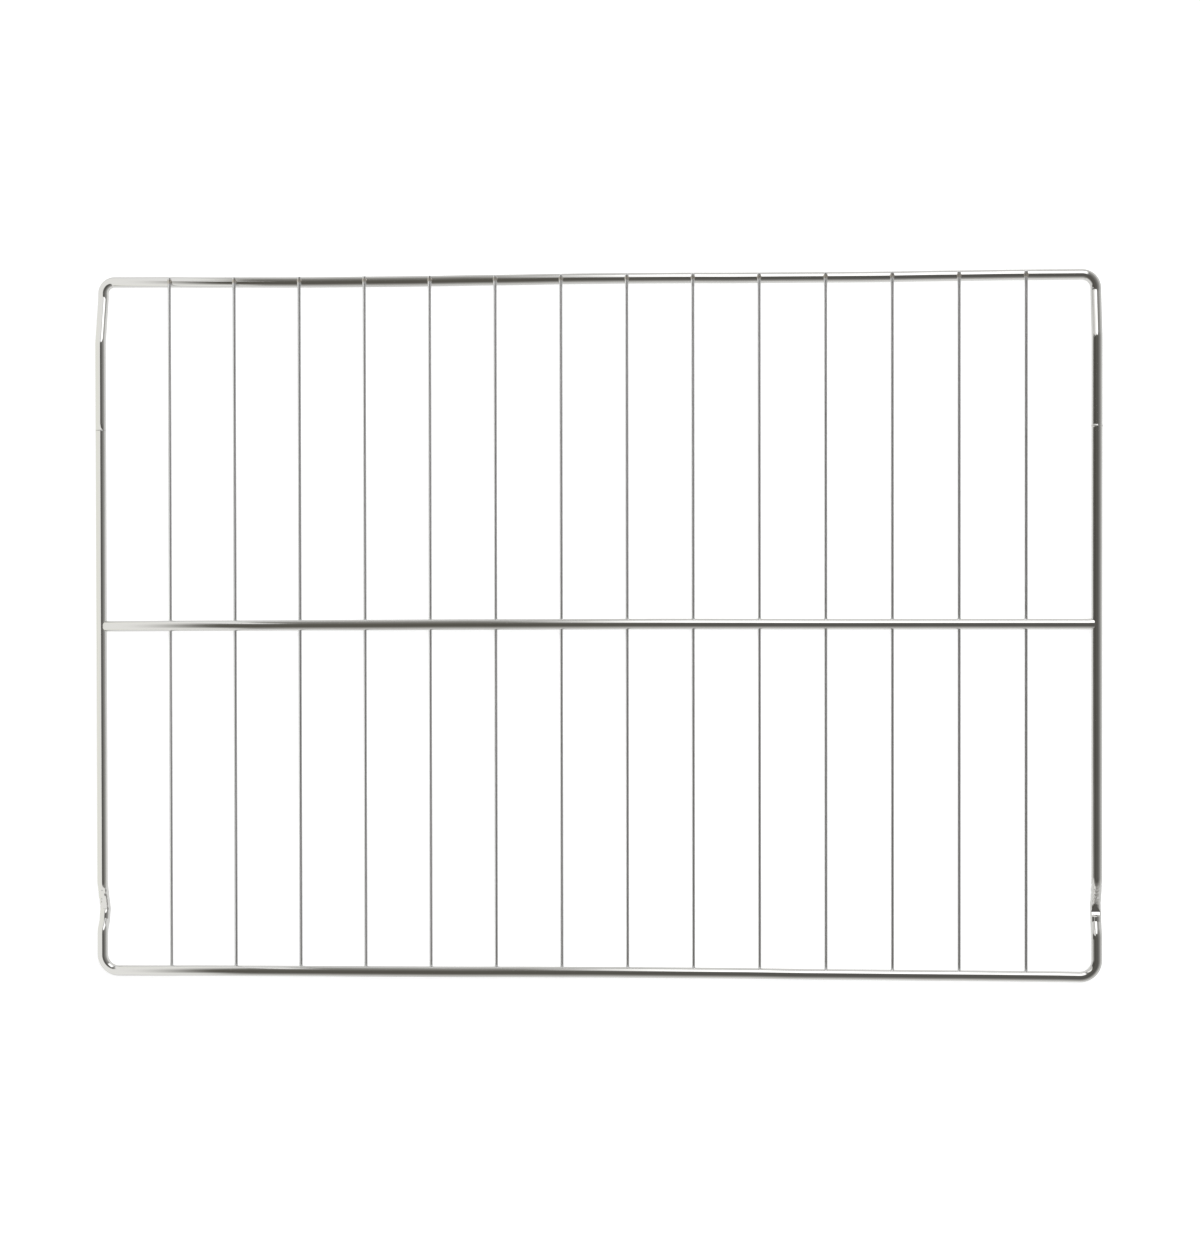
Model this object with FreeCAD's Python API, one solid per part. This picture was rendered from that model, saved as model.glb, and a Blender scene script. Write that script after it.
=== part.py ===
import FreeCAD, Part
import math
import os

# Oven shelf rack of plated steel wire, in millimetres.
# It lies flat with +X to the right, +Y to the rear and +Z up.
# The origin is under the middle of the rack, on the surface that it lies on.

# Overall sizes, over the outside of the frame wires
rack_width = 581.0
rack_depth = 407.8

# Wire gauges
frame_wire_diameter = 6.2
cross_wire_diameter = 2.03

# Grid of thin cross wires
cross_wire_pitch = 38.1
edge_gap_least = 25.0  # least space between a side rail and the cross wire beside it
cross_wire_end_gap = 0.75  # cross wires stop this far inside the outer edges of the rails

# Centre bar
centre_bar_offset = 0.6  # to the rear of the middle
centre_bar_sink = 1.6  # how far its ends reach into the round of the side rails

# Spot welds, where a cross wire is pressed flat against a rail
spot_weld_sink = 0.1
spot_weld_margin = 0.1  # extra length of the flat past the rail's round, at each end

# Butt welds that join the two frame wires, one on each side rail
butt_flash_height = 0.2
butt_flash_length = 1.0

# Corner bends, to the middle of the wire
rear_corner_radius = 8.0
front_corner_radius = 9.5

# Step that takes the rear rail down below the cross wires; it starts where the corner bend ends
step_slope = 17.0  # degrees
step_bend_radius = 10.0
rear_leg_length = 49.7  # straight wire between the step and the butt weld

# Stop kinks near the front of the side rails
kink_depth = 8.03  # the tips reach down to the surface that the rear rail lies on
kink_slope = 30.0  # degrees
kink_tip_radius = 8.0
kink_shoulder_radius = 8.0
kink_land = 11.0  # straight wire between the corner bend and the kink

# Shortest straight run that is drawn; below it one bend runs straight into the next
least_run = 0.001

# Worked-out sizes
frame_wire_radius = frame_wire_diameter / 2
cross_wire_radius = cross_wire_diameter / 2
rail_x = rack_width / 2 - frame_wire_radius
rail_y = rack_depth / 2 - frame_wire_radius
seat_height = frame_wire_radius + cross_wire_radius - spot_weld_sink

# Heights: cross wires run straight, under the front rail and the centre bar and over the rear rail
rear_drop = 2 * seat_height
rail_z = max(kink_depth, rear_drop) + frame_wire_radius
cross_wire_z = rail_z - seat_height
rear_rail_z = rail_z - rear_drop


def bend_reach(radius, turn):
    # length of wire that a bend takes from the straight run on each side of its corner point
    return radius * math.tan(math.radians(turn) / 2)


# Step, from the rear rail forwards
step_reach = bend_reach(step_bend_radius, step_slope)
step_foot_y = rail_y - rear_corner_radius - step_reach
step_top_y = step_foot_y - rear_drop / math.tan(math.radians(step_slope))
butt_weld_y = step_top_y - step_reach - rear_leg_length

# Kink, from the front rail backwards; its sharp corner lies deeper than the rounded tip
kink_corner_depth = kink_depth + kink_tip_radius * (1 / math.cos(math.radians(kink_slope)) - 1)
kink_half_span = kink_corner_depth / math.tan(math.radians(kink_slope))
kink_front_y = front_corner_radius + kink_land + bend_reach(kink_shoulder_radius, kink_slope) - rail_y
kink_tip_y = kink_front_y + kink_half_span
kink_rear_y = kink_tip_y + kink_half_span

# Cross wires: as many as the pitch fits between the side rails
clear_width = rack_width - 2 * frame_wire_diameter - 2 * edge_gap_least - cross_wire_diameter
cross_wire_count = int(clear_width / cross_wire_pitch) + 1
cross_wire_length = rack_depth - 2 * cross_wire_end_gap
first_cross_wire_x = -cross_wire_pitch * (cross_wire_count - 1) / 2

# Flat at a spot weld: the stretch where the round of the rail would reach into the cross wire
flat_height = cross_wire_radius - spot_weld_sink
flat_half_length = math.sqrt(frame_wire_radius**2 - (frame_wire_radius - spot_weld_sink)**2) + spot_weld_margin


def bent_path(corners, radii):
    # straight runs through the corner points, joined by tangent arcs
    edges = []
    start = corners[0]
    for before, corner, after, radius in zip(corners, corners[1:], corners[2:], radii):
        run_in = (corner - before).normalize()
        run_out = (after - corner).normalize()
        half_turn = run_in.getAngle(run_out) / 2
        arc_start = corner - run_in * (radius * math.tan(half_turn))
        arc_end = corner + run_out * (radius * math.tan(half_turn))
        inward = (run_out - run_in).normalize()
        arc_middle = corner + inward * (radius / math.cos(half_turn) - radius)
        if (arc_start - start).Length > least_run:
            edges.append(Part.LineSegment(start, arc_start).toShape())
        edges.append(Part.Arc(arc_start, arc_middle, arc_end).toShape())
        start = arc_end
    edges.append(Part.LineSegment(start, corners[-1]).toShape())
    return Part.Wire(edges)


def rod_along(axis, length, middle, radius):
    # straight round bar about its middle point
    start = middle - axis * (length / 2)
    return Part.makeCylinder(radius, length, start, axis)


def frame_wire(leg, bends):
    # U of heavy wire: the leg's corners as (y, z) from the butt weld to the rail, and its mirror image
    left = [FreeCAD.Vector(-rail_x, y, z) for y, z in leg]
    right = [FreeCAD.Vector(rail_x, y, z) for y, z in reversed(leg)]
    path = bent_path(left + right, bends + bends[::-1])
    along = (left[1] - left[0]).normalize()
    section = Part.Wire(Part.Circle(left[0], along, frame_wire_radius).toShape())
    return path.makePipe(Part.Face(section))


def make_rear_frame_wire():
    # rear rail, stepped down at both ends, with the flash of the butt welds left on its legs
    leg = [
        (butt_weld_y, rail_z),
        (step_top_y, rail_z),
        (step_foot_y, rear_rail_z),
        (rail_y, rear_rail_z),
    ]
    wire = frame_wire(leg, [step_bend_radius, step_bend_radius, rear_corner_radius])
    flash_radius = frame_wire_radius + butt_flash_height
    for side in (-1, 1):
        weld = FreeCAD.Vector(side * rail_x, butt_weld_y, rail_z)
        rearwards = FreeCAD.Vector(0, 1, 0)
        flash = Part.makeCone(flash_radius, frame_wire_radius, butt_flash_length, weld, rearwards)
        wire = wire.fuse(flash)
    return wire.removeSplitter()


def make_front_frame_wire():
    # front rail and the long legs of the side rails, each with a stop kink
    leg = [
        (butt_weld_y, rail_z),
        (kink_rear_y, rail_z),
        (kink_tip_y, rail_z - kink_corner_depth),
        (kink_front_y, rail_z),
        (-rail_y, rail_z),
    ]
    bends = [kink_shoulder_radius, kink_tip_radius, kink_shoulder_radius, front_corner_radius]
    return frame_wire(leg, bends)


def make_centre_bar():
    # straight bar, its ends coped to the round of the side rails
    end_x = rail_x - frame_wire_radius + centre_bar_sink
    middle = FreeCAD.Vector(0, centre_bar_offset, rail_z)
    bar = rod_along(FreeCAD.Vector(1, 0, 0), 2 * end_x, middle, frame_wire_radius)
    for side in (-1, 1):
        beside = middle + FreeCAD.Vector(side * rail_x, 0, 0)
        side_rail = rod_along(FreeCAD.Vector(0, 1, 0), 2 * frame_wire_diameter, beside, frame_wire_radius)
        bar = bar.cut(side_rail)
    return bar


def make_cross_wire(x):
    # straight wire with cropped ends, pressed flat where it is welded; the end flats run out at its ends
    middle = FreeCAD.Vector(x, 0, cross_wire_z)
    wire = rod_along(FreeCAD.Vector(0, 1, 0), cross_wire_length, middle, cross_wire_radius)
    past_end = rack_depth / 2
    above = cross_wire_z + flat_height
    below = cross_wire_z - flat_height - cross_wire_diameter
    flats = [
        (-past_end, flat_half_length - rail_y, above),
        (centre_bar_offset - flat_half_length, centre_bar_offset + flat_half_length, above),
        (rail_y - flat_half_length, past_end, below),
    ]
    for front_y, rear_y, low_z in flats:
        corner = FreeCAD.Vector(x - cross_wire_radius, front_y, low_z)
        wire = wire.cut(Part.makeBox(cross_wire_diameter, rear_y - front_y, cross_wire_diameter, corner))
    return wire


parts = {
    "rear_frame_wire": make_rear_frame_wire(),
    "front_frame_wire": make_front_frame_wire(),
    "centre_bar": make_centre_bar(),
}
for number in range(cross_wire_count):
    x = first_cross_wire_x + number * cross_wire_pitch
    parts[f"cross_wire_{number + 1:02d}"] = make_cross_wire(x)

os.makedirs("parts", exist_ok=True)
for name, shape in parts.items():
    shape.exportStep(f"parts/{name}.step")
    print(name, "solids:", len(shape.Solids), "valid:", shape.isValid(), "volume:", round(shape.Volume, 2))
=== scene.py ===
import math
import bpy
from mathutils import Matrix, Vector


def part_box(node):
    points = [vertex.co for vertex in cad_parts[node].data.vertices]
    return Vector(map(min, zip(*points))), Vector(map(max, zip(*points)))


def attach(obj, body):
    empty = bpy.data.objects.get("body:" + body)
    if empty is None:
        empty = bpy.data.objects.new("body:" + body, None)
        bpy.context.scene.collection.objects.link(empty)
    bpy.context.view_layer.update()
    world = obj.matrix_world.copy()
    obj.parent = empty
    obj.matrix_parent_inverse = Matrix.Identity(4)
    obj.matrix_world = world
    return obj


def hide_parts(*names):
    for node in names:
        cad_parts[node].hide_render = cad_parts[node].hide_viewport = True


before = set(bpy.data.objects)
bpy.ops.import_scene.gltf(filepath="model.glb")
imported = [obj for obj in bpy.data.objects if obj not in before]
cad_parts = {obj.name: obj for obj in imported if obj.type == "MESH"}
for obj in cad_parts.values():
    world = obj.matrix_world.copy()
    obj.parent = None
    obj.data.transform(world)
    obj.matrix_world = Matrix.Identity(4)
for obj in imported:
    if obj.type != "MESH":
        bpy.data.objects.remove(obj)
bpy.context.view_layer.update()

mm = 0.001
print("frame loaded:", len(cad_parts), "wires")


# small helpers for building node trees

def addNode(tree, kind, settings=None, **sockets):
    # sockets are given by name, with _ for a space: a value is set, a socket is linked
    node = tree.nodes.new(kind)
    for name, value in (settings or {}).items():
        setattr(node, name, value)
    for name, value in sockets.items():
        fill(tree, node.inputs[name.replace("_", " ")], value)
    return node


def fill(tree, socket, value):
    if isinstance(value, bpy.types.NodeSocket):
        tree.links.new(value, socket)
    else:
        socket.default_value = value


def calc(tree, operation, *values):
    node = tree.nodes.new("ShaderNodeMath")
    node.operation = operation
    for socket, value in zip(node.inputs, values):
        fill(tree, socket, value)
    return node.outputs[0]


def product(tree, first, *others):
    for other in others:
        first = calc(tree, "MULTIPLY", first, other)
    return first


def mixColour(tree, share, first, second):
    node = tree.nodes.new("ShaderNodeMix")
    node.data_type = "RGBA"
    fill(tree, node.inputs[0], share)
    fill(tree, node.inputs[6], first)
    fill(tree, node.inputs[7], second)
    return node.outputs[2]


def mapRange(tree, value, low, high, toLow, toHigh, kind="LINEAR"):
    node = addNode(tree, "ShaderNodeMapRange", {"interpolation_type": kind}, Value=value)
    for name, number in (("From Min", low), ("From Max", high), ("To Min", toLow), ("To Max", toHigh)):
        fill(tree, node.inputs[name], number)
    return node.outputs["Result"]


def ease(tree, value, start, end):
    # soft step from 0 at the start to 1 at the end
    return mapRange(tree, value, start, end, 0.0, 1.0, "SMOOTHSTEP")


def within(tree, value, low, high):
    # how far inside a stretch a value lies, less than 0 outside it
    return calc(tree, "MINIMUM", calc(tree, "SUBTRACT", value, low), calc(tree, "SUBTRACT", high, value))


def parts(tree, vector):
    return addNode(tree, "ShaderNodeSeparateXYZ", Vector=vector).outputs


def noise(tree, size, **sockets):
    # cloudy noise with lumps of about the given size
    return addNode(tree, "ShaderNodeTexNoise", Scale=calc(tree, "DIVIDE", 1.0, size), **sockets).outputs["Fac"]


def newGroup(name, kind, inputs, outputs):
    tree = bpy.data.node_groups.new(name, kind)
    for label, socketType, value in inputs:
        socket = tree.interface.new_socket(label, in_out="INPUT", socket_type=socketType)
        if value is not None:
            socket.default_value = value
    for label, socketType in outputs:
        tree.interface.new_socket(label, in_out="OUTPUT", socket_type=socketType)
    return tree, tree.nodes.new("NodeGroupInput").outputs, tree.nodes.new("NodeGroupOutput").inputs


# sizes read back from the frame, in metres

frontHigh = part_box("front_frame_wire")[1]
rearLow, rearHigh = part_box("rear_frame_wire")
barLow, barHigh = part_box("centre_bar")
crossNames = sorted(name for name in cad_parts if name.startswith("cross_wire"))
firstLow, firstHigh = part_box(crossNames[0])
lastLow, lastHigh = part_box(crossNames[-1])

frameWire = {
    "radius": 3.1 * mm,
    "rearCorner": 8.0 * mm,           # bend radii are to the middle of the wire
    "tightCorner": 6.6 * mm,          # the left rear corner came out tighter
    "frontCorner": 9.5 * mm,
    "stepBend": 10.0 * mm,            # at the step's top
    "footBend": 9.6 * mm,             # and at its foot
    "stepSlope": 17.0,                # degrees
    "flash": (0.07 * mm, 0.19 * mm),  # height of the left and right butt weld's ring
    # share of that height at mm along the wire
    "flashShape": ((0.0, 0.3), (0.1, 0.9), (0.24, 1.0), (0.42, 0.7), (0.65, 0.25), (1.0, 0.04), (1.6, 0.0),
                   (2.4, 0.0), (3.4, 0.0), (4.4, 0.0)),
    "tint": 0.35,                     # how much a butt weld has dulled the plating
    "tintFade": 3.0,                  # mm along the wire in which a full tint would fade
    "weldRun": 8 * mm,                # straight wire kept beside a butt weld
    "weldFlat": 4.2 * mm,             # length of the dressed flat at the left butt weld
    "press": 0.20,                    # depth of the flats on the left side, as a share of the radius
    "bendSteps": 14,
    "roundSteps": 40,
}
wireRadius = frameWire["radius"]
railX = frontHigh.x - wireRadius
railY = rearHigh.y - wireRadius
railZ = frontHigh.z - wireRadius
rearRailZ = rearLow.z + wireRadius
buttWeldY = rearLow.y
barY = (barLow.y + barHigh.y) / 2


def bendReach(radius, turn):
    return radius * math.tan(math.radians(turn) / 2)


# wire paths: corner points with their bend radius, and the swelling, weld tint and dents of the wire there

def pathPoint(x, y, z, bend=0.0, swell=1.0, weld=0.0, dent=0.0):
    return {"at": Vector((x, y, z)), "bend": bend, "swell": swell, "weld": weld, "dent": dent}


def withSupports(points):
    # a point just outside each bend keeps the long straight runs shaded straight
    clear = 0.4 * mm
    reaches = [0.0]
    for before, here, after in zip(points, points[1:], points[2:]):
        turn = (here["at"] - before["at"]).angle(after["at"] - here["at"])
        reaches.append(here["bend"] * math.tan(turn / 2))
    reaches.append(0.0)
    done = []
    for here, after, reach, reachAfter in zip(points, points[1:], reaches, reaches[1:]):
        done.append(here)
        run = after["at"] - here["at"]
        along = run.normalized()
        if run.length > reach + reachAfter + 3 * clear:
            if reach:
                done.append(pathPoint(*(here["at"] + along * (reach + clear))))
            if reachAfter:
                done.append(pathPoint(*(after["at"] - along * (reachAfter + clear))))
    done.append(points[-1])
    return done


def buttWeldEnd(side, direction):
    # ring of flash at a frame wire's end, fading along the leg
    # the left leg of the rear wire is dressed flat there
    ring = frameWire["flash"][side > 0] / wireRadius
    flat = frameWire["weldFlat"] if (side, direction) == (-1, 1) else 0.0
    points = []
    for run, rise in frameWire["flashShape"]:
        dent = max(0.0, 1 - run * mm / flat) if flat else 0.0
        tint = max(0.0, frameWire["tint"] - run / frameWire["tintFade"])
        y = buttWeldY + direction * run * mm
        points.append(pathPoint(side * railX, y, railZ, swell=1 + ring * rise, weld=tint, dent=dent))
    return points + [pathPoint(side * railX, buttWeldY + direction * frameWire["weldRun"], railZ)]


def smoothValue(table, at):
    # eased from each entry of a table to the next
    for (fromAt, fromValue), (toAt, toValue) in zip(table, table[1:]):
        if at <= toAt:
            share = max(0.0, (at - fromAt) / (toAt - fromAt))
            return fromValue + (toValue - fromValue) * share * share * (3 - 2 * share)
    return table[-1][1]


# rails that aren't quite straight: x and how far they stand in there, both in mm (the bar: to the front)
frameBow = {
    "rear": ((-287, 0.0), (-263, 0.15), (-215, 0.6), (-165, 0.95), (-110, 0.9), (-60, 0.55), (0, 0.1),
             (45, 0.15), (85, 0.4), (160, 0.5), (205, 0.2), (240, 0.0), (287, 0.0)),
    "front": ((-287, 0.0), (-263, 0.05), (-225, 0.35), (-150, 0.45), (-90, 0.55), (-30, 0.85), (10, 1.0),
              (85, 0.9), (125, 0.6), (205, 0.45), (260, 0.3), (287, 0.0)),
    "bar": ((-287, 0.6), (-225, 0.3), (-146, 0.0), (-70, -0.25), (40, -0.5), (160, -0.33), (287, -0.3)),
    "clear": 22 * mm,             # the bowed run starts this far from the side rails
    "steps": 24,                  # on each side of the middle
}


def railPoints(y, z, bow, inward):
    reach, steps = railX - frameBow["clear"], frameBow["steps"]
    stops = [reach * step / steps for step in range(-steps, steps + 1)]
    return [pathPoint(x, y + inward * smoothValue(bow, x / mm) * mm, z) for x in stops]


def rearWirePath():
    footY = railY - frameWire["rearCorner"] - bendReach(frameWire["stepBend"], frameWire["stepSlope"])
    topY = footY - (railZ - rearRailZ) / math.tan(math.radians(frameWire["stepSlope"]))
    legs = []
    for side, corner in ((-1, frameWire["tightCorner"]), (1, frameWire["rearCorner"])):
        leg = buttWeldEnd(side, 1)
        leg.append(pathPoint(side * railX, topY, railZ, frameWire["stepBend"]))
        leg.append(pathPoint(side * railX, footY, rearRailZ, frameWire["footBend"]))
        leg.append(pathPoint(side * railX, railY, rearRailZ, corner))
        legs.append(leg)
    return withSupports(legs[0] + railPoints(railY, rearRailZ, frameBow["rear"], -1) + legs[1][::-1])


# kinks: the y of the lowest point, then slopes in degrees at mm to the rear and to the front of it
stopKink = {
    "left": {
        "at": -165.4 * mm,
        "depth": 7.3 * mm,
        "rear": ((0, 0), (1.6, 27), (13.0, 27), (17.8, 0)),
        "front": ((0, 0), (1.6, 27), (2.4, 27), (3.4, 15), (6.0, 15), (7.2, 42), (10.0, 42), (14.6, 0)),
    },
    "right": {
        "at": -160.6 * mm,
        "depth": railZ - wireRadius,
        "rear": ((0, 0), (3.2, 33), (12.3, 33), (17.2, 0)),
        "front": ((0, 0), (4.0, 30), (5.6, 30), (6.6, 14), (9.0, 14), (10.6, 37), (14.0, 37), (18.7, 0)),
    },
    "tread": (-1.2 * mm, 3.3 * mm),   # step that the bending tool has left inside the right kink
    "treadFall": 0.14,
    "ramp": (1.9 * mm, 0.62),         # length and slope of the face in front of the step
    "dent": 0.9 * mm,                 # hammered look of the rear slopes
    "dentSize": 2.1 * mm,
    # mm to the first dents and on to the full ones, from the tip and from the rear shoulder
    "dentRun": ((0.6, 1.2), (2.5, 2.0)),
    "pointStep": (0.4, 0.2),          # mm between the points of the rear and the front slope
}


def slopeAt(table, at):
    for (fromAt, fromSlope), (toAt, toSlope) in zip(table, table[1:]):
        if fromAt <= at <= toAt:
            return fromSlope + (toSlope - fromSlope) * (at - fromAt) / (toAt - fromAt)


def kinkPoints(side):
    # the V from its rear shoulder to its front shoulder, with close points where the tool has marked it
    kink = stopKink["left" if side < 0 else "right"]
    (tipClear, tipEase), (shoulderClear, shoulderEase) = stopKink["dentRun"]
    points = []
    for table, direction, step in zip((kink["rear"], kink["front"]), (1, -1), stopKink["pointStep"]):
        length = table[-1][0]
        count = round(length / step)
        heights, climb = [0.0], 0.0
        for number in range(count):
            slope = slopeAt(table, length * (number + 0.5) / count)
            climb += math.tan(math.radians(slope)) * length / count
            heights.append(climb)
        run = []
        for number, height in enumerate(heights):
            away = length * number / count
            dent = min(1.0, (away - tipClear) / tipEase, (length - shoulderClear - away) / shoulderEase)
            dent = max(0.0, dent) if direction > 0 else 0.0
            y = kink["at"] + direction * away * mm
            z = railZ - kink["depth"] * (1 - height / climb)
            run.append(pathPoint(side * railX, y, z, dent=dent))
        points += run[::-1] if direction > 0 else run[1:]
    return points


def frontWirePath():
    legs = []
    for side in (-1, 1):
        leg = buttWeldEnd(side, -1) + kinkPoints(side)
        leg.append(pathPoint(side * railX, -railY, railZ, frameWire["frontCorner"]))
        legs.append(leg)
    return withSupports(legs[0] + railPoints(-railY, railZ, frameBow["front"], 1) + legs[1][::-1])


centreBar = {
    "flare": (0.05 * mm, 0.18 * mm),  # upset of the bar's left and right end against the side rails
    # share of that upset at mm from the end
    "flareShape": ((0.0, 1.0), (1.62, 1.0), (1.9, 0.88), (2.3, 0.55), (2.8, 0.24), (3.4, 0.06), (4.2, 0.0)),
    "tint": 0.4,                      # how much the welds have dulled its ends
    "tintFade": 7.0,                  # mm along the bar in which a full tint would fade
    "steps": 30,
    "roundSteps": 40,
}


def barPath():
    left, right = [], []
    for end, flare in zip((left, right), centreBar["flare"]):
        for run, rise in centreBar["flareShape"]:
            tint = max(0.0, centreBar["tint"] - run / centreBar["tintFade"])
            end.append((run * mm, 1 + flare / wireRadius * rise, tint))
    length, steps = barHigh.x - barLow.x, centreBar["steps"]
    stops = left + [(length * step / steps, 1.0, 0.0) for step in range(1, steps)]
    stops += [(length - run, swell, weld) for run, swell, weld in reversed(right)]
    points = []
    for run, swell, weld in stops:
        x = barLow.x + run
        y = barY - smoothValue(frameBow["bar"], x / mm) * mm
        points.append(pathPoint(x, y, railZ, swell=swell, weld=weld))
    return points


crossWire = {
    "radius": (firstHigh.x - firstLow.x) / 2,
    "endRound": 0.45 * mm,
    "endShape": {0.0: 0.62, 0.08: 0.8, 0.25: 0.93, 0.55: 0.99, 1.0: 1.0},   # thickness along the rounded end
    "endClear": 0.54 * mm,            # no other points this near an end
    "frontShort": 1.1 * mm,           # drawn back so that no end shows past the bowed front rail
    "rearShort": 0.4 * mm,
    "frontWeldIn": 0.5 * mm,          # welds lie a little inside the bowed rails
    "rearWeldIn": 0.4 * mm,
    "pressSpread": 0.20,              # how much wider a wire is where it is welded
    "pressFlat": 0.098,               # and how much flatter
    "pressReach": 2.4 * mm,
    "pressFall": 1.6,                 # how fast that fades along the wire
    "nugget": (1.45 * mm, 1.35 * mm, 0.42 * mm),    # half sizes of the squeezed-out metal
    "weldSteps": 6,                   # points on each side of a weld
    "weldStep": 0.6 * mm,
    "longSteps": 20,                  # points along the whole wire
    "roundSteps": 20,
}
frontWeldY = crossWire["frontWeldIn"] - railY
rearWeldY = railY - crossWire["rearWeldIn"]
wireZ = railZ - wireRadius - crossWire["radius"] * (1 - crossWire["pressFlat"])


def crossWirePath():
    # one wire on x = 0, with its cropped ends rounded and more points where it is welded
    welds = (frontWeldY, barY, rearWeldY)
    front, rear = firstLow.y + crossWire["frontShort"], firstHigh.y - crossWire["rearShort"]
    edge, clear, reach = crossWire["endRound"], crossWire["endClear"], crossWire["pressReach"]
    weldSteps, longSteps = crossWire["weldSteps"], crossWire["longSteps"]
    stops = {}
    for share, swell in crossWire["endShape"].items():
        stops[front + share * edge] = swell
        stops[rear - share * edge] = swell
    for weldY in welds:
        for step in range(-weldSteps, weldSteps + 1):
            stopY = weldY + step * crossWire["weldStep"]
            if front + clear < stopY < rear - clear:
                stops[stopY] = 1.0
    for step in range(1, longSteps):
        stopY = front + (rear - front) * step / longSteps
        if all(abs(stopY - weldY) > reach * 2 for weldY in welds):
            stops[stopY] = 1.0
    path = []
    for stopY in sorted(stops):
        near = min(abs(stopY - weldY) for weldY in welds)
        press = math.exp(-(near / reach * crossWire["pressFall"]) ** 2)
        path.append(pathPoint(0, stopY, wireZ, swell=stops[stopY], weld=press))
    return path


def pathObject(name, points):
    mesh = bpy.data.meshes.new(name + "Path")
    mesh.from_pydata([point["at"] for point in points], [(i, i + 1) for i in range(len(points) - 1)], [])
    for label in ("bend", "swell", "weld", "dent"):
        column = mesh.attributes.new(label, "FLOAT", "POINT")
        column.data.foreach_set("value", [point[label] for point in points])
    piece = bpy.data.objects.new(name, mesh)
    bpy.context.scene.collection.objects.link(piece)
    return piece


# Geometry Nodes: a wire swept along its path

def named(tree, label):
    node = addNode(tree, "GeometryNodeInputNamedAttribute", {"data_type": "FLOAT"}, Name=label)
    return node.outputs["Attribute"]


def placeOf(tree):
    return parts(tree, tree.nodes.new("GeometryNodeInputPosition").outputs["Position"])


def moved(tree, geometry, offset):
    return addNode(tree, "GeometryNodeSetPosition", Geometry=geometry, Offset=offset).outputs["Geometry"]


def vectorOf(tree, **values):
    return addNode(tree, "ShaderNodeCombineXYZ", **values).outputs["Vector"]


def scaled(tree, vector, size):
    node = addNode(tree, "ShaderNodeVectorMath", {"operation": "SCALE"}, Vector=vector, Scale=size)
    return node.outputs["Vector"]


def sweptWire(tree, path, bendSteps, diameter, roundSteps):
    # each point of the sweep keeps how far along and which way round the wire it is
    curve = addNode(tree, "GeometryNodeMeshToCurve", Mesh=path).outputs["Curve"]
    curve = addNode(tree, "GeometryNodeFilletCurve", {"mode": "POLY"},
                    Curve=curve, Count=bendSteps, Radius=named(tree, "bend")).outputs["Curve"]
    run = tree.nodes.new("GeometryNodeSplineParameter").outputs["Length"]
    curve = addNode(tree, "GeometryNodeStoreNamedAttribute", {"data_type": "FLOAT", "domain": "POINT"},
                    Geometry=curve, Name="wireRun", Value=run).outputs["Geometry"]
    ring = addNode(tree, "GeometryNodeCurvePrimitiveCircle", {"mode": "RADIUS"}, Resolution=roundSteps)
    ring = ring.outputs["Curve"]
    position = tree.nodes.new("GeometryNodeInputPosition").outputs["Position"]
    ring = addNode(tree, "GeometryNodeStoreNamedAttribute", {"data_type": "FLOAT_VECTOR", "domain": "POINT"},
                   Geometry=ring, Name="wireRound", Value=position).outputs["Geometry"]
    size = product(tree, calc(tree, "DIVIDE", diameter, 2.0), named(tree, "swell"))
    tube = addNode(tree, "GeometryNodeCurveToMesh",
                   Curve=curve, Profile_Curve=ring, Scale=size, Fill_Caps=True).outputs["Mesh"]
    return addNode(tree, "GeometryNodeSetShadeSmooth", Geometry=tube).outputs["Geometry"]


def endTree(tree, groupOut, geometry, plating):
    geometry = addNode(tree, "GeometryNodeRealizeInstances", Geometry=geometry).outputs["Geometry"]
    geometry = addNode(tree, "GeometryNodeSetMaterial", Geometry=geometry, Material=plating).outputs["Geometry"]
    tree.links.new(geometry, groupOut["Geometry"])


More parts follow.
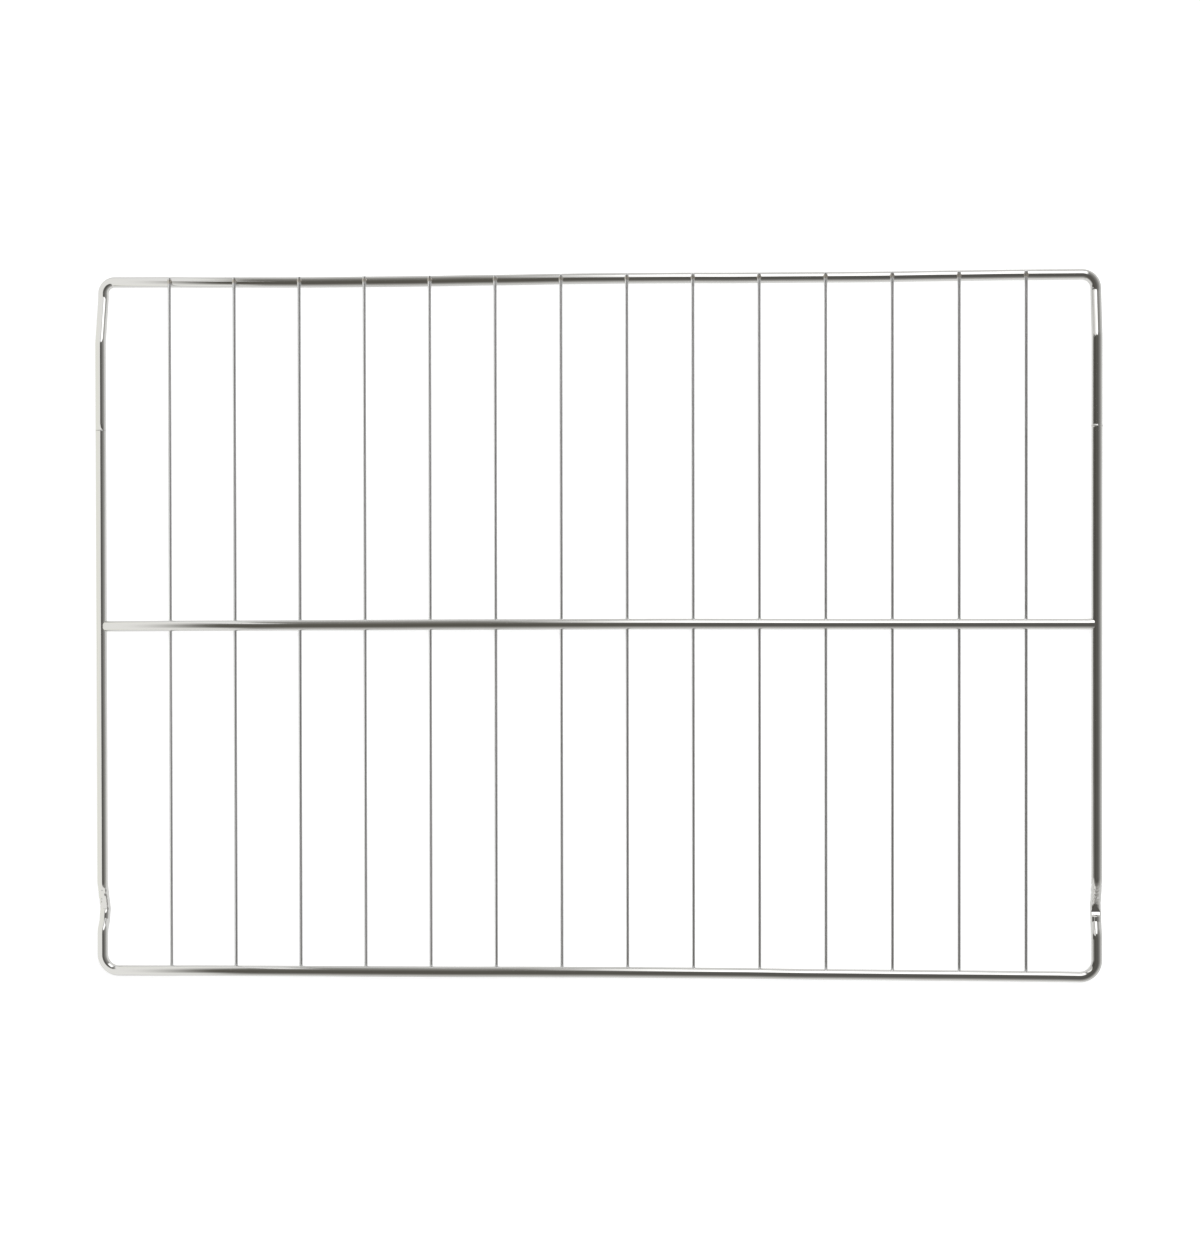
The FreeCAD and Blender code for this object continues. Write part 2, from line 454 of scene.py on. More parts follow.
def bentWireTree():
    tree, given, out = newGroup("bentWire", "GeometryNodeTree", [
        ("Geometry", "NodeSocketGeometry", None),
        ("Wire Diameter", "NodeSocketFloat", 6.2 * mm),
        ("Bend Steps", "NodeSocketInt", 12),
        ("Round Steps", "NodeSocketInt", 32),
        ("Cope Radius", "NodeSocketFloat", 0.0),
        ("Cope Middle", "NodeSocketVector", (0.0, 0.0, 0.0)),
        ("Press Share", "NodeSocketFloat", 0.0),
        ("Dent Depth", "NodeSocketFloat", 0.0),
        ("Dent Size", "NodeSocketFloat", 2.0 * mm),
        ("Dent Floor", "NodeSocketFloat", 0.42),
        ("Kink", "NodeSocketFloat", 0.0),
        ("Tread Height", "NodeSocketFloat", 1.0),
        ("Tread Start", "NodeSocketFloat", 0.0),
        ("Tread End", "NodeSocketFloat", 0.0),
        ("Tread Fall", "NodeSocketFloat", 0.0),
        ("Ramp Length", "NodeSocketFloat", 1.0 * mm),
        ("Ramp Slope", "NodeSocketFloat", 0.5),
        ("Wall Slope", "NodeSocketFloat", 3.5),
        ("Plating", "NodeSocketMaterial", None),
    ], [("Geometry", "NodeSocketGeometry")])
    tube = sweptWire(tree, given["Geometry"], given["Bend Steps"],
                     given["Wire Diameter"], given["Round Steps"])
    # ends that reach into a side rail are drawn back to its round
    place = placeOf(tree)
    rail = parts(tree, given["Cope Middle"])
    rise = calc(tree, "SUBTRACT", place["Z"], rail["Z"])
    radius = given["Cope Radius"]
    chord = calc(tree, "SUBTRACT", product(tree, radius, radius), product(tree, rise, rise))
    face = calc(tree, "SUBTRACT", rail["X"], calc(tree, "SQRT", calc(tree, "MAXIMUM", chord, 0.0)))
    over = calc(tree, "MAXIMUM", calc(tree, "SUBTRACT", calc(tree, "ABSOLUTE", place["X"]), face), 0.0)
    back = product(tree, calc(tree, "SIGN", place["X"]), product(tree, over, -1.0))
    coped = calc(tree, "GREATER_THAN", radius, 0.0)
    tube = moved(tree, tube, vectorOf(tree, X=product(tree, back, coped)))
    # flats on the left side: on top of the kink's rear slope and at the butt weld
    outward = tree.nodes.new("GeometryNodeInputNormal").outputs["Normal"]
    way = parts(tree, outward)
    upright = calc(tree, "SQRT", calc(tree, "SUBTRACT", 1.0, product(tree, way["X"], way["X"])))
    press = calc(tree, "ADD", calc(tree, "SUBTRACT", upright, 1.0), given["Press Share"])
    depth = product(tree, named(tree, "dent"), calc(tree, "DIVIDE", given["Wire Diameter"], -2.0))
    press = product(tree, calc(tree, "MAXIMUM", press, 0.0), depth)
    onTop = calc(tree, "GREATER_THAN", way["Z"], 0.0)
    onLeft = calc(tree, "LESS_THAN", placeOf(tree)["X"], 0.0)
    press = product(tree, press, product(tree, onTop, onLeft))
    press = calc(tree, "DIVIDE", press, calc(tree, "MAXIMUM", upright, 0.1))
    inward = vectorOf(tree, Y=product(tree, press, way["Y"]), Z=product(tree, press, way["Z"]))
    tube = moved(tree, tube, inward)
    # dents of the bending tool on a kink's rear slope
    grain = noise(tree, given["Dent Size"], Detail=1.0)
    grain = calc(tree, "MAXIMUM", calc(tree, "SUBTRACT", grain, given["Dent Floor"]), 0.0)
    deep = product(tree, grain, given["Dent Depth"], named(tree, "dent"), -1.0)
    tube = moved(tree, tube, scaled(tree, outward, deep))
    # and its step inside the right kink: a tread, a ramp in front of it and a short wall up to the round
    place = placeOf(tree)
    ahead = calc(tree, "SUBTRACT", given["Kink"], place["Y"])
    rampRun = calc(tree, "MAXIMUM", calc(tree, "SUBTRACT", ahead, given["Tread End"]), 0.0)
    wallRun = calc(tree, "MAXIMUM", calc(tree, "SUBTRACT", rampRun, given["Ramp Length"]), 0.0)
    fall = product(tree, calc(tree, "MINIMUM", ahead, given["Tread End"]), given["Tread Fall"])
    limit = calc(tree, "SUBTRACT", given["Tread Height"], fall)
    limit = calc(tree, "ADD", limit, product(tree, rampRun, given["Ramp Slope"]))
    limit = calc(tree, "ADD", limit, product(tree, wallRun, given["Wall Slope"]))
    cut = calc(tree, "MINIMUM", calc(tree, "SUBTRACT", limit, place["Z"]), 0.0)
    inKink = calc(tree, "GREATER_THAN", ahead, given["Tread Start"])
    onRight = calc(tree, "GREATER_THAN", place["X"], 0.0)
    tube = moved(tree, tube, vectorOf(tree, Z=product(tree, cut, product(tree, inKink, onRight))))
    endTree(tree, out, tube, given["Plating"])
    return tree


def crossWireTree():
    tree, given, out = newGroup("crossWireRow", "GeometryNodeTree", [
        ("Geometry", "NodeSocketGeometry", None),
        ("Wire Diameter", "NodeSocketFloat", 2.0 * mm),
        ("Wire Height", "NodeSocketFloat", 0.0),
        ("Wire Count", "NodeSocketInt", 14),
        ("First Wire", "NodeSocketFloat", 0.0),
        ("Pitch", "NodeSocketFloat", 38.1 * mm),
        ("Round Steps", "NodeSocketInt", 16),
        ("Press Spread", "NodeSocketFloat", 0.2),
        ("Press Flat", "NodeSocketFloat", 0.08),
        ("Nugget Size", "NodeSocketVector", (1.0, 1.0, 1.0)),
        ("Nugget Segments", "NodeSocketInt", 14),
        ("Nugget Rings", "NodeSocketInt", 8),
        ("Under Weld", "NodeSocketFloat", 0.0),
        ("Over Weld", "NodeSocketFloat", 0.0),
        ("Front Rail", "NodeSocketFloat", 0.0),
        ("Centre Bar", "NodeSocketFloat", 0.0),
        ("Rear Rail", "NodeSocketFloat", 0.0),
        ("Seed", "NodeSocketInt", 7),
        ("Plating", "NodeSocketMaterial", None),
    ], [("Geometry", "NodeSocketGeometry")])
    tube = sweptWire(tree, given["Geometry"], 1, given["Wire Diameter"], given["Round Steps"])
    # pressed wider and flatter at the welds
    weld = named(tree, "weld")
    place = placeOf(tree)
    wider = product(tree, place["X"], given["Press Spread"], weld)
    rise = calc(tree, "SUBTRACT", given["Wire Height"], place["Z"])
    flatter = product(tree, rise, given["Press Flat"], weld)
    tube = moved(tree, tube, vectorOf(tree, X=wider, Z=flatter))
    # squeezed-out metal where the wire sits on a rail
    join = tree.nodes.new("GeometryNodeJoinGeometry")
    tree.links.new(tube, join.inputs[0])
    welds = (("Front Rail", "Over Weld"), ("Centre Bar", "Over Weld"), ("Rear Rail", "Under Weld"))
    for rail, height in welds:
        nugget = addNode(tree, "GeometryNodeMeshUVSphere", Segments=given["Nugget Segments"],
                         Rings=given["Nugget Rings"], Radius=1.0).outputs["Mesh"]
        nugget = addNode(tree, "GeometryNodeSetShadeSmooth", Geometry=nugget).outputs["Geometry"]
        nugget = addNode(tree, "GeometryNodeStoreNamedAttribute", {"data_type": "FLOAT", "domain": "POINT"},
                         Geometry=nugget, Name="weld", Value=1.0).outputs["Geometry"]
        spot = vectorOf(tree, Y=given[rail], Z=given[height])
        nugget = addNode(tree, "GeometryNodeTransform",
                         Geometry=nugget, Translation=spot, Scale=given["Nugget Size"]).outputs["Geometry"]
        tree.links.new(nugget, join.inputs[0])
    # the row, each wire with a number of its own so that no two have the same drawn lines
    start = vectorOf(tree, X=given["First Wire"])
    step = vectorOf(tree, X=given["Pitch"])
    row = addNode(tree, "GeometryNodeMeshLine", Count=given["Wire Count"], Start_Location=start, Offset=step)
    wires = addNode(tree, "GeometryNodeInstanceOnPoints", Points=row.outputs["Mesh"], Instance=join.outputs[0])
    wires = wires.outputs["Instances"]
    random = addNode(tree, "FunctionNodeRandomValue", {"data_type": "FLOAT"}, Seed=given["Seed"])
    wires = addNode(tree, "GeometryNodeStoreNamedAttribute", {"data_type": "FLOAT", "domain": "INSTANCE"},
                    Geometry=wires, Name="wireNumber", Value=random.outputs["Value"]).outputs["Geometry"]
    endTree(tree, out, wires, given["Plating"])
    return tree


def makePiece(name, points, tree, values):
    piece = pathObject(name, points)
    modifier = piece.modifiers.new("wire", "NODES")
    modifier.node_group = tree
    identifiers = {item.name: item.identifier for item in tree.interface.items_tree if item.in_out == "INPUT"}
    for label, value in values.items():
        modifier[identifiers[label]] = value
    depsgraph = bpy.context.evaluated_depsgraph_get()
    mesh = bpy.data.meshes.new_from_object(piece.evaluated_get(depsgraph), depsgraph=depsgraph)
    piece.modifiers.remove(modifier)
    path, piece.data = piece.data, mesh
    bpy.data.meshes.remove(path)
    mesh.name = name
    print("made", name, "with", len(mesh.polygons), "faces")
    return piece


# finishes

platingMarks = {
    "cloud": (0.35, 0.7),             # noise levels between which a cloud or a speck comes up
    "speck": (0.66, 0.78),
    "paintedLeftShade": (-0.11, -0.18),           # x between which painted shade darkens the plating towards the left
    "heat": (0.15, 0.9),              # shares of a weld between which its heat shows
    "heatGrain": 0.4,                 # more of this makes the heat less patchy
    "lineShift": 50.0,                # sets the drawn lines of one wire apart from the next one's
    "speckRough": 0.12,
    "grainHeight": 1.5,               # beside the drawn lines
    "bump": 0.35,
}


def drawnLinesGroup():
    # fine lines that the drawing die leaves along a wire
    tree, given, out = newGroup("drawnLines", "ShaderNodeTree", [
        ("Lines Round", "NodeSocketFloat", 14.0),
        ("Line Length", "NodeSocketFloat", 0.03),
    ], [("Height", "NodeSocketFloat")])
    around = addNode(tree, "ShaderNodeAttribute", {"attribute_name": "wireRound"}).outputs["Vector"]
    run = addNode(tree, "ShaderNodeAttribute", {"attribute_name": "wireRun"}).outputs["Fac"]
    number = addNode(tree, "ShaderNodeAttribute", {"attribute_name": "wireNumber"}).outputs["Fac"]
    turn = scaled(tree, around, given["Lines Round"])
    shift = product(tree, number, platingMarks["lineShift"])
    along = calc(tree, "ADD", calc(tree, "DIVIDE", run, given["Line Length"]), shift)
    spot = addNode(tree, "ShaderNodeVectorMath", {"operation": "ADD"})
    tree.links.new(turn, spot.inputs[0])
    tree.links.new(vectorOf(tree, Z=along), spot.inputs[1])
    lines = addNode(tree, "ShaderNodeTexNoise",
                    Vector=spot.outputs["Vector"], Scale=1.0, Detail=3.0, Roughness=0.6)
    tree.links.new(lines.outputs["Fac"], out["Height"])
    return tree


def platingCloudAndShadeGroup():
    # soft clouds and small specks in the plating, and painted shade that darkens it towards the left
    tree, given, out = newGroup("platingCloudAndShade", "ShaderNodeTree", [
        ("Cloud Size", "NodeSocketFloat", 0.02),
        ("Speck Size", "NodeSocketFloat", 0.0008),
    ], [("Cloud", "NodeSocketFloat"), ("Specks", "NodeSocketFloat"), ("Painted Left Shade", "NodeSocketFloat")])
    place = tree.nodes.new("ShaderNodeTexCoord").outputs["Object"]
    cloud = noise(tree, given["Cloud Size"], Vector=place, Detail=4.0)
    speck = noise(tree, given["Speck Size"], Vector=place, Detail=1.0)
    tree.links.new(ease(tree, cloud, *platingMarks["cloud"]), out["Cloud"])
    tree.links.new(ease(tree, speck, *platingMarks["speck"]), out["Specks"])
    # painted shade: the plating made darker towards the left
    tree.links.new(ease(tree, parts(tree, place)["X"], *platingMarks["paintedLeftShade"]), out["Painted Left Shade"])
    return tree


def weldHeatGroup():
    # where welding has dulled the metal under the plating
    tree, given, out = newGroup("weldHeat", "ShaderNodeTree", [
        ("Grain Size", "NodeSocketFloat", 0.0015),
    ], [("Heat", "NodeSocketFloat"), ("Grain", "NodeSocketFloat")])
    weld = addNode(tree, "ShaderNodeAttribute", {"attribute_name": "weld"}).outputs["Fac"]
    place = tree.nodes.new("ShaderNodeTexCoord").outputs["Object"]
    grain = noise(tree, given["Grain Size"], Vector=place, Detail=3.0)
    heat = product(tree, weld, calc(tree, "ADD", grain, platingMarks["heatGrain"]))
    tree.links.new(ease(tree, heat, *platingMarks["heat"]), out["Heat"])
    tree.links.new(product(tree, grain, weld), out["Grain"])
    return tree


framePlating = {
    "colour": (0.700, 0.695, 0.682, 1.0),
    "cloudColour": (0.676, 0.670, 0.655, 1.0),
    "paintedShadeColour": (0.690, 0.686, 0.674, 1.0),   # painted shade towards the left side
    "heatColour": (0.50, 0.47, 0.41, 1.0),
    "rough": (0.045, 0.085),      # clear plating and clouded plating
    "heatRough": 0.12,
    "linesRound": 9.0,
    "lineLength": 0.045,
    "lineDepth": 0.012 * mm,
}
crossPlating = {
    "colour": (0.850, 0.854, 0.863, 1.0),
    "cloudColour": (0.822, 0.826, 0.835, 1.0),
    "paintedShadeColour": (0.686, 0.690, 0.698, 1.0),   # painted shade towards the left side
    "heatColour": (0.52, 0.49, 0.44, 1.0),
    "rough": (0.31, 0.37),
    "heatRough": 0.10,
    "linesRound": 5.0,
    "lineLength": 0.03,
    "lineDepth": 0.010 * mm,
}


def plating(name, finish, groups):
    material = bpy.data.materials.new(name)
    material.use_nodes = True
    tree = material.node_tree
    shader = tree.nodes["Principled BSDF"]
    shader.inputs["Metallic"].default_value = 1.0

    def placed(label, **values):
        return addNode(tree, "ShaderNodeGroup", {"node_tree": groups[label]}, **values).outputs

    lines = placed("drawnLines", Lines_Round=finish["linesRound"], Line_Length=finish["lineLength"])
    cloud = placed("platingCloudAndShade")
    heat = placed("weldHeat")
    colour = mixColour(tree, cloud["Cloud"], finish["colour"], finish["cloudColour"])
    # painted shade: the plating's colour darkened towards the left
    colour = mixColour(tree, cloud["Painted Left Shade"], colour, finish["paintedShadeColour"])
    colour = mixColour(tree, heat["Heat"], colour, finish["heatColour"])
    tree.links.new(colour, shader.inputs["Base Color"])
    rough = mapRange(tree, cloud["Cloud"], 0.0, 1.0, *finish["rough"])
    rough = calc(tree, "ADD", rough, product(tree, cloud["Specks"], platingMarks["speckRough"]))
    rough = calc(tree, "ADD", rough, product(tree, heat["Heat"], finish["heatRough"]))
    tree.links.new(rough, shader.inputs["Roughness"])
    height = calc(tree, "ADD", lines["Height"], product(tree, heat["Grain"], platingMarks["grainHeight"]))
    bump = addNode(tree, "ShaderNodeBump",
                   Strength=platingMarks["bump"], Distance=finish["lineDepth"], Height=height)
    tree.links.new(bump.outputs["Normal"], shader.inputs["Normal"])
    return material


groups = {"drawnLines": drawnLinesGroup(), "platingCloudAndShade": platingCloudAndShadeGroup(), "weldHeat": weldHeatGroup()}
frameFinish = plating("framePlating", framePlating, groups)
crossFinish = plating("crossWirePlating", crossPlating, groups)
print("finishes made")


# the rack's pieces

bentWire = bentWireTree()
frameValues = {
    "Wire Diameter": 2 * wireRadius,
    "Bend Steps": frameWire["bendSteps"],
    "Round Steps": frameWire["roundSteps"],
    "Press Share": frameWire["press"],
    "Plating": frameFinish,
}
rearFrameWire = makePiece("rearFrameWire", rearWirePath(), bentWire, frameValues)
frontFrameWire = makePiece("frontFrameWire", frontWirePath(), bentWire, dict(frameValues, **{
    "Dent Depth": stopKink["dent"],
    "Dent Size": stopKink["dentSize"],
    "Kink": stopKink["right"]["at"],
    "Tread Height": 2 * wireRadius,
    "Tread Start": stopKink["tread"][0],
    "Tread End": stopKink["tread"][1],
    "Tread Fall": stopKink["treadFall"],
    "Ramp Length": stopKink["ramp"][0],
    "Ramp Slope": stopKink["ramp"][1],
}))
crossBar = makePiece("centreBar", barPath(), bentWire, {
    "Wire Diameter": 2 * wireRadius,
    "Bend Steps": 1,
    "Round Steps": centreBar["roundSteps"],
    "Cope Radius": wireRadius,
    "Cope Middle": (railX, barY, railZ),
    "Plating": frameFinish,
})
crossWires = makePiece("crossWires", crossWirePath(), crossWireTree(), {
    "Wire Diameter": 2 * crossWire["radius"],
    "Wire Height": wireZ,
    "Wire Count": len(crossNames),
    "First Wire": (firstLow.x + firstHigh.x) / 2,
    "Pitch": ((lastLow.x + lastHigh.x) - (firstLow.x + firstHigh.x)) / 2 / (len(crossNames) - 1),
    "Round Steps": crossWire["roundSteps"],
    "Press Spread": crossWire["pressSpread"],
    "Press Flat": crossWire["pressFlat"],
    "Nugget Size": crossWire["nugget"],
    "Under Weld": rearRailZ + wireRadius,
    "Over Weld": railZ - wireRadius,
    "Front Rail": frontWeldY,
    "Centre Bar": barY,
    "Rear Rail": rearWeldY,
    "Plating": crossFinish,
})

for piece, nodes, slot in (
    (rearFrameWire, ["rear_frame_wire"], "frame_wire_plating"),
    (frontFrameWire, ["front_frame_wire"], "frame_wire_plating"),
    (crossBar, ["centre_bar"], "frame_wire_plating"),
    (crossWires, crossNames, "cross_wire_plating"),
):
    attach(piece, "root")
    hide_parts(*nodes)


# studio: a pale floor, and round it cards that only the plating sees

def flatPanel(name, corners, material):
    mesh = bpy.data.meshes.new(name)
    mesh.from_pydata(corners, [], [(0, 1, 2, 3)])
    mesh.materials.append(material)
    panel = bpy.data.objects.new(name, mesh)
    bpy.context.scene.collection.objects.link(panel)
    return panel


def glowMaterial(name):
    # returns the material's tree, the place on the panel and a call that ends the tree with a colour
    material = bpy.data.materials.new(name)
    material.use_nodes = True
    material.cycles.emission_sampling = "NONE"
    tree = material.node_tree
    tree.nodes.clear()
    place = tree.nodes.new("ShaderNodeTexCoord").outputs["Object"]

    def shine(colour, share=None):
        surface = addNode(tree, "ShaderNodeEmission", Color=colour).outputs["Emission"]
        if share is not None:
            clear = tree.nodes.new("ShaderNodeBsdfTransparent").outputs["BSDF"]
            mix = tree.nodes.new("ShaderNodeMixShader")
            for socket, value in zip(mix.inputs, (share, clear, surface)):
                tree.links.new(value, socket)
            surface = mix.outputs["Shader"]
        end = tree.nodes.new("ShaderNodeOutputMaterial")
        tree.links.new(surface, end.inputs["Surface"])
        return material

    return tree, place, shine


def onlyForPlating(panel):
    panel.visible_camera = False
    panel.visible_diffuse = False
    panel.visible_shadow = False
    panel.visible_volume_scatter = False


# dim surroundings: darkest overhead and at the left, paler towards the horizon and palest at the front
surround = {
    "half": 4.0,
    "overhead": (0.127, 0.1235, 0.115, 1.0),
    "overheadLeft": (0.130, 0.123, 0.105, 1.0),
    "highLeft": (0.088, 0.086, 0.076, 1.0),
    "horizon": (0.55, 0.545, 0.527, 1.0),
    "leftHorizon": (0.14, 0.135, 0.122, 1.0),
    "frontHorizon": (0.63, 0.622, 0.60, 1.0),
    "frontRise": (0.07, 0.82),        # heights, as a share of straight up, between which the front darkens
    "rearLeft": (0.80, 0.79, 0.77, 1.0),
    "rearLeftGlow": (1.5, 1.5, 1.48, 1.0),   # higher up, beside the soft box
    "frontLeft": (0.95, 0.94, 0.91, 1.0),
    # where each of them begins and is full, as a share of the direction from the middle
    "overheadLeftX": (0.05, -0.15),
    "highLeftX": (-0.2, -0.5),
    "leftHorizonX": (-0.25, -0.6),
    "frontY": (0.0, -0.35),
    "rearLeftX": (-0.35, -0.5),
    "rearLeftY": (0.25, 0.40),
    "glowX": (-0.64, -0.56),
    "glowZ": (0.36, 0.44),
    "frontLeftX": (-0.25, -0.38),
    "frontLeftZ": (0.45, 0.30),
}


def buildSurround():
    tree, place, shine = glowMaterial("surroundGlow")
    way = addNode(tree, "ShaderNodeVectorMath", {"operation": "NORMALIZE"}, Vector=place).outputs["Vector"]
    way = parts(tree, way)

    def sector(label):
        # label ends in the direction's letter
        return ease(tree, way[label[-1]], *surround[label])

    over = mixColour(tree, sector("overheadLeftX"), surround["overhead"], surround["overheadLeft"])
    over = mixColour(tree, sector("highLeftX"), over, surround["highLeft"])
    low = mixColour(tree, sector("leftHorizonX"), surround["horizon"], surround["leftHorizon"])
    sides = mixColour(tree, mapRange(tree, way["Z"], 0.0, 1.0, 0.0, 1.0), low, over)
    frontRise = mapRange(tree, way["Z"], *surround["frontRise"], 0.0, 1.0)
    front = mixColour(tree, frontRise, surround["frontHorizon"], over)
    glow = product(tree, sector("glowX"), sector("glowZ"))
    rearLeft = mixColour(tree, glow, surround["rearLeft"], surround["rearLeftGlow"])
    sides = mixColour(tree, product(tree, sector("rearLeftY"), sector("rearLeftX")), sides, rearLeft)
    aside = product(tree, sector("frontLeftX"), sector("frontLeftZ"))
    front = mixColour(tree, aside, front, surround["frontLeft"])
    material = shine(mixColour(tree, sector("frontY"), sides, front))
    half = surround["half"]
    walls = {
        "Left": [(-1, -1, 0), (-1, 1, 0), (-1, 1, 1), (-1, -1, 1)],
        "Right": [(1, 1, 0), (1, -1, 0), (1, -1, 1), (1, 1, 1)],
        "Rear": [(-1, 1, 0), (1, 1, 0), (1, 1, 1), (-1, 1, 1)],
        "Front": [(1, -1, 0), (-1, -1, 0), (-1, -1, 1), (1, -1, 1)],
        "Over": [(-1, -1, 1), (-1, 1, 1), (1, 1, 1), (1, -1, 1)],
    }
    for side, corners in walls.items():
        onlyForPlating(flatPanel("surround" + side, [Vector(corner) * half for corner in corners], material))


# long white card beside the left rail
leftCard = {
    "x": -0.297, "ends": (-0.70, 0.70), "endSoft": 0.10,
    "colour": (1.065, 1.062, 1.035, 1.0),
    "lowColour": (1.065, 1.065, 1.0, 1.0),
    "lowTop": (0.02, 0.07),           # heights between which the low colour fades
    "lowEnds": (0.15, 0.20),          # and distances from the middle
    "top": 0.255, "topSoft": 0.165,
    "rearRise": 0.8,                  # how fast its top climbs towards the rear
    "rearFrom": 0.3,                  # and from which y on
    "seenWithin": (0.46, 0.57),       # it fades out for plating further away, such as the right rail's
}


def buildLeftCard():
    tree, place, shine = glowMaterial("leftCardGlow")
    spot = parts(tree, place)
    front, rear = leftCard["ends"]
    low, high = leftCard["top"] - leftCard["topSoft"], leftCard["top"] + leftCard["topSoft"]
    extra = calc(tree, "MAXIMUM", calc(tree, "SUBTRACT", spot["Y"], leftCard["rearFrom"]), 0.0)
    extra = product(tree, extra, leftCard["rearRise"])
    share = ease(tree, calc(tree, "SUBTRACT", spot["Z"], extra), high, low)
    inside = within(tree, spot["Y"], front, rear)
    share = product(tree, share, ease(tree, inside, 0.0, 2 * leftCard["endSoft"]))
    away = tree.nodes.new("ShaderNodeLightPath").outputs["Ray Length"]
    near, far = leftCard["seenWithin"]
    share = product(tree, share, ease(tree, away, far, near))
    x = leftCard["x"]
    high += (rear - leftCard["rearFrom"]) * leftCard["rearRise"]
    corners = [(x, front, 0), (x, rear, 0), (x, rear, high), (x, front, high)]
    upper = ease(tree, spot["Z"], *leftCard["lowTop"])
    ends = ease(tree, calc(tree, "ABSOLUTE", spot["Y"]), *leftCard["lowEnds"])
    colour = mixColour(tree, calc(tree, "MAXIMUM", upper, ends), leftCard["lowColour"], leftCard["colour"])
    onlyForPlating(flatPanel("leftCard", corners, shine(colour, share)))


# narrow white card at the left rear corner
cornerCard = {
    "left": -0.297, "right": -0.250, "soft": 0.010, "y": 0.29, "top": 0.45,
    "colour": (1.05, 1.05, 1.04, 1.0),
}


def buildCornerCard():
    tree, place, shine = glowMaterial("cornerCardGlow")
    left, right, y, top = (cornerCard[name] for name in ("left", "right", "y", "top"))
    share = ease(tree, parts(tree, place)["X"], right, right - 2 * cornerCard["soft"])
    corners = [(left, y, 0), (right, y, 0), (right, y, top), (left, y, top)]
    onlyForPlating(flatPanel("cornerCard", corners, shine(cornerCard["colour"], share)))


# pale grey just over the floor, so that the plating's edges stand out from the background
groundCard = {
    "half": 3.0, "height": 0.0002,
    "colour": (0.77, 0.77, 0.76, 1.0),
    "sideColour": (0.92, 0.92, 0.91, 1.0),
    "sideLeft": (-0.12, -0.22),       # x between which it turns to the side colour
    "sideRight": (-0.1, 0.2),         # and on the right, where that ends at the side rail
}


def buildGroundCard():
    tree, place, shine = glowMaterial("groundCardGlow")
    half, height = groundCard["half"], groundCard["height"]
    corners = [(-half, -half, height), (half, -half, height), (half, half, height), (-half, half, height)]
    x = parts(tree, place)["X"]
    sideward = product(tree, ease(tree, x, *groundCard["sideRight"]), calc(tree, "LESS_THAN", x, railX))
    sideward = calc(tree, "MAXIMUM", sideward, ease(tree, x, *groundCard["sideLeft"]))
    colour = mixColour(tree, sideward, groundCard["colour"], groundCard["sideColour"])
    onlyForPlating(flatPanel("groundCard", corners, shine(colour)))


# soft box behind the right half
softBox = {
    "left": -0.16, "leftSoft": 0.10, "right": 0.56, "rightSoft": 0.05,
    "foot": (0.75, 0.14), "head": (0.60, 1.40), "headSoft": 0.20,
    "colour": (1.85, 1.85, 1.85, 1.0),
}


def buildSoftBox():
    tree, place, shine = glowMaterial("softBoxGlow")
    spot = parts(tree, place)
    (footY, footZ), (headY, headZ) = softBox["foot"], softBox["head"]
    left, right = softBox["left"], softBox["right"]
    fromLeft = ease(tree, spot["X"], left, left + 2 * softBox["leftSoft"])
    fromRight = ease(tree, spot["X"], right, right - 2 * softBox["rightSoft"])
    fromHead = ease(tree, spot["Z"], headZ, headZ - 2 * softBox["headSoft"])
    material = shine(softBox["colour"], product(tree, fromLeft, fromRight, fromHead))
    corners = [(left, footY, footZ), (right, footY, footZ), (right, headY, headZ), (left, headY, headZ)]
    onlyForPlating(flatPanel("softBox", corners, material))


def seenDirectly(tree):
    # 1 for the rays that show the background itself, in the picture or in the plating
    path = tree.nodes.new("ShaderNodeLightPath").outputs
    seen = calc(tree, "MAXIMUM", path["Is Camera Ray"], path["Is Glossy Ray"])
    return calc(tree, "MAXIMUM", seen, path["Is Transmission Ray"])


floorLook = {"size": 60.0, "colour": (0.8, 0.8, 0.8, 1.0), "glow": 0.74}


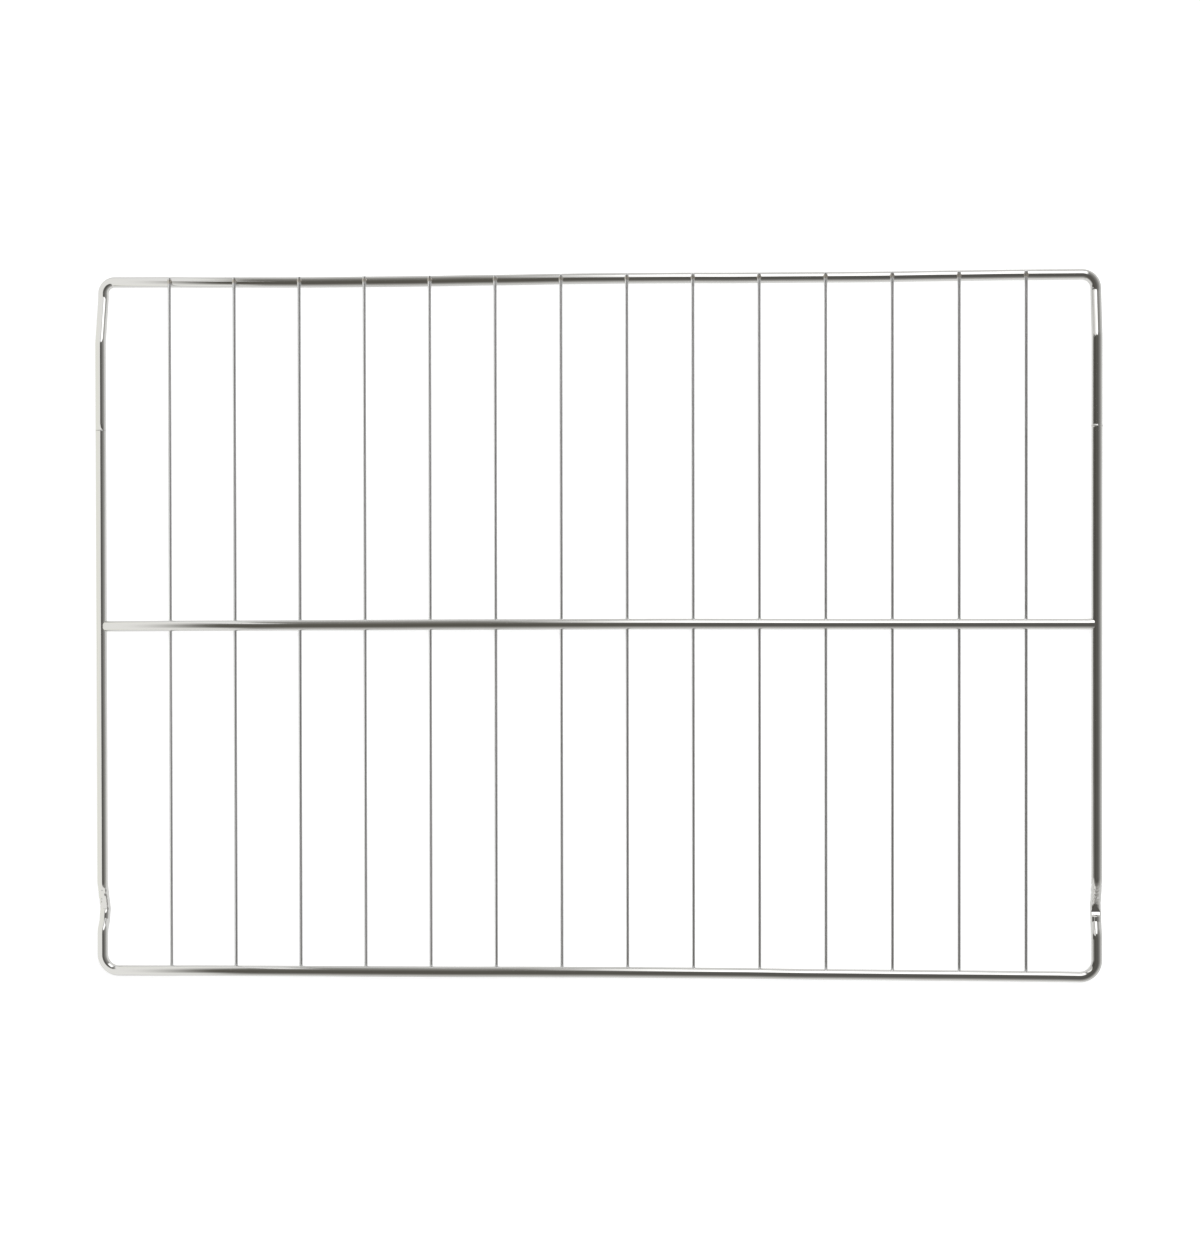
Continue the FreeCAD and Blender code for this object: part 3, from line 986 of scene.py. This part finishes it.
def buildFloor():
    material = bpy.data.materials.new("paleFloor")
    material.use_nodes = True
    material.cycles.emission_sampling = "NONE"
    tree = material.node_tree
    shader = tree.nodes["Principled BSDF"]
    shader.inputs["Base Color"].default_value = floorLook["colour"]
    shader.inputs["Roughness"].default_value = 1.0
    shader.inputs["Specular IOR Level"].default_value = 0.0
    shader.inputs["Emission Color"].default_value = (1.0, 1.0, 1.0, 1.0)
    glow = product(tree, seenDirectly(tree), floorLook["glow"])
    tree.links.new(glow, shader.inputs["Emission Strength"])
    half = floorLook["size"] / 2
    flatPanel("floor", [(-half, -half, 0), (half, -half, 0), (half, half, 0), (-half, half, 0)], material)


backdrop = {"fill": 0.15, "seen": 1.0}    # strength for the light it gives, and where it shows


def buildWorld():
    world = bpy.data.worlds.new("paleBackdrop")
    bpy.context.scene.world = world
    world.use_nodes = True
    tree = world.node_tree
    back = tree.nodes["Background"]
    back.inputs["Color"].default_value = (1.0, 1.0, 1.0, 1.0)
    strength = mapRange(tree, seenDirectly(tree), 0.0, 1.0, backdrop["fill"], backdrop["seen"])
    tree.links.new(strength, back.inputs["Strength"])


studioLamp = {"size": 1.8, "power": 26.0, "at": (0.5, 0.7, 2.0)}


def buildLamp():
    lamp = bpy.data.lights.new("overheadLamp", "AREA")
    lamp.shape = "SQUARE"
    lamp.size = studioLamp["size"]
    lamp.energy = studioLamp["power"]
    holder = bpy.data.objects.new("overheadLamp", lamp)
    holder.location = studioLamp["at"]
    holder.rotation_euler = (-Vector(studioLamp["at"])).to_track_quat("-Z", "Y").to_euler()
    holder.visible_camera = False
    holder.visible_glossy = False
    bpy.context.scene.collection.objects.link(holder)


photoView = {
    "at": (0.12301, 0.02531, 1.77253),
    "turn": (-0.8105, 3.8775, -0.0912),   # degrees
    "lens": 88.262,                       # mm on a 36 mm sensor
}


def buildCamera():
    camera = bpy.data.cameras.new("photoCamera")
    camera.sensor_width = 36.0
    camera.lens = photoView["lens"]
    camera.clip_start, camera.clip_end = 0.05, 100.0
    holder = bpy.data.objects.new("photoCamera", camera)
    holder.location = photoView["at"]
    holder.rotation_euler = [math.radians(angle) for angle in photoView["turn"]]
    bpy.context.scene.collection.objects.link(holder)
    bpy.context.scene.camera = holder


buildSurround()
buildLeftCard()
buildCornerCard()
buildGroundCard()
buildSoftBox()
buildFloor()
buildWorld()
buildLamp()
buildCamera()
bpy.context.scene.view_settings.view_transform = "Standard"
print("studio ready")
